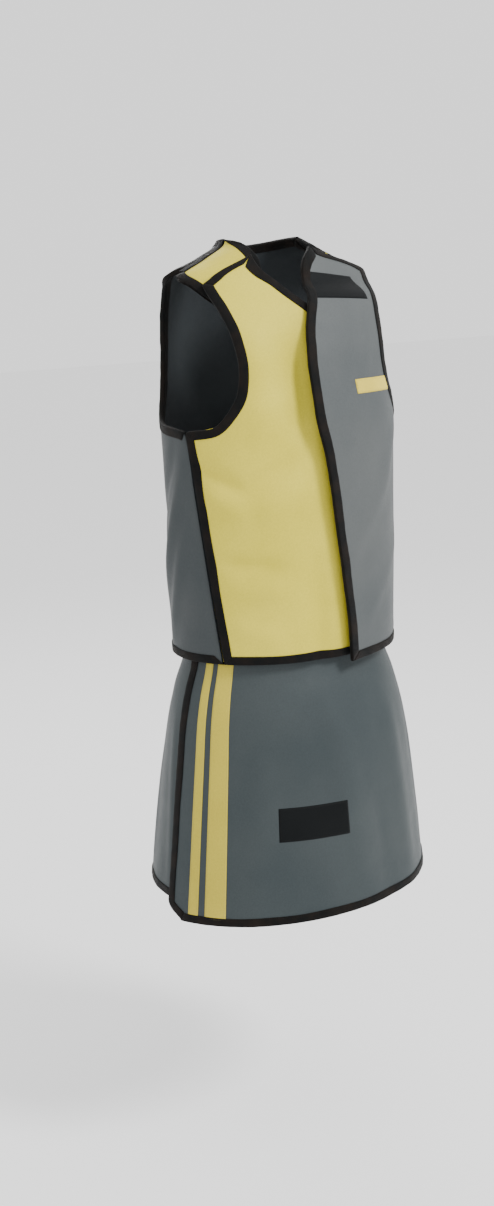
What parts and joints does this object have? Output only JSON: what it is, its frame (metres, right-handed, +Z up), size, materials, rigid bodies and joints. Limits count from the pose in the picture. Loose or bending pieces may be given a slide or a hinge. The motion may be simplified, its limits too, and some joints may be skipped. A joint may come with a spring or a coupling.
{
  "type": "lead apron",
  "caption": "Two-piece wrap-around X-ray apron: sleeveless vest with overlapping hinged fronts and shoulder flaps over a wrap skirt with bound edges, belt and side-release buckle.",
  "frame": {"origin": "middle of the neck opening at shoulder level, where the vest rests on the wearer's shoulders", "axes": "+Z up, -Y towards the front of the wearer, +X towards the wearer's left; the apron hangs below the origin"},
  "size_m": [0.4539, 0.3813, 0.9959],
  "materials": {
    "khaki_shell": "satin coated nylon",
    "grey_shell": "satin coated nylon",
    "slate_shell": "satin coated nylon",
    "lining": "matte nylon",
    "lead_vinyl": "matte",
    "binding": "ribbed tape",
    "webbing": "woven",
    "buckle": "moulded",
    "hook_and_loop": "napped",
    "label_cloth": "woven"
  },
  "bodies": {
    "vest_back": {"hanger_loop": "webbing", "left_shoulder_flap_binding": "binding", "left_shoulder_flap_lead_core": "lead_vinyl", "left_shoulder_flap_lining": "lining", "left_shoulder_flap_shell": "khaki_shell", "right_shoulder_flap_binding": "binding", "right_shoulder_flap_lead_core": "lead_vinyl", "right_shoulder_flap_lining": "lining", "right_shoulder_flap_shell": "khaki_shell", "vest_back_binding": "binding", "vest_back_lead_core": "lead_vinyl", "vest_back_lining": "lining", "vest_back_shell": "slate_shell"},
    "left_front": {"chest_patch": "khaki_shell", "front_hook_tape": "hook_and_loop", "left_front_binding": "binding", "left_front_lead_core": "lead_vinyl", "left_front_lining": "lining", "left_front_shell": "grey_shell", "shoulder_label": "label_cloth"},
    "right_front": {"front_loop_tape": "hook_and_loop", "right_front_binding": "binding", "right_front_lead_core": "lead_vinyl", "right_front_lining": "lining", "right_front_shell": "khaki_shell"},
    "skirt": {"buckle_socket": "buckle", "skirt_front_yoke_binding": "binding", "skirt_front_yoke_lead_core": "lead_vinyl", "skirt_front_yoke_lining": "lining", "skirt_front_yoke_shell": "slate_shell", "skirt_wrap_binding": "binding", "skirt_wrap_lead_core": "lead_vinyl", "skirt_wrap_lining": "lining", "skirt_wrap_shell": "slate_shell", "waist_belt": "webbing", "wrap_loop_tape": "hook_and_loop"},
    "skirt_flap": {"flap_hook_tape": "hook_and_loop", "narrow_stripe": "khaki_shell", "skirt_front_flap_binding": "binding", "skirt_front_flap_lead_core": "lead_vinyl", "skirt_front_flap_lining": "lining", "skirt_front_flap_shell": "slate_shell", "skirt_label": "label_cloth", "wide_stripe": "khaki_shell"},
    "buckle_tongue": {"buckle_tongue": "buckle"}
  },
  "joints": [
    {"name": "left_front_hinge", "type": "hinge", "parent": "vest_back", "child": "left_front", "pos_m": [0.1785, -0.06, -0.43], "axis": [0, 0, 1], "range_deg": [0, 110]},
    {"name": "right_front_hinge", "type": "hinge", "parent": "vest_back", "child": "right_front", "pos_m": [-0.1785, -0.06, -0.43], "axis": [0, 0, -1], "range_deg": [0, 33]},
    {"name": "skirt_slide", "type": "slide", "parent": "vest_back", "child": "skirt", "axis": [0, 0, -1], "range_m": [0, 0.2]},
    {"name": "skirt_flap_hinge", "type": "hinge", "parent": "skirt", "child": "skirt_flap", "pos_m": [0.1995, -0.003, -0.7], "axis": [-0.1236, 0, 0.9923], "range_deg": [0, 28]},
    {"name": "buckle_tongue_slide", "type": "slide", "parent": "skirt", "child": "buckle_tongue", "axis": [-1, 0, 0], "range_m": [0, 0.022]}
  ],
  "couplings": [
    {"joint": "right_front_hinge", "follows": "left_front_hinge", "ratio": 0.3}
  ]
}
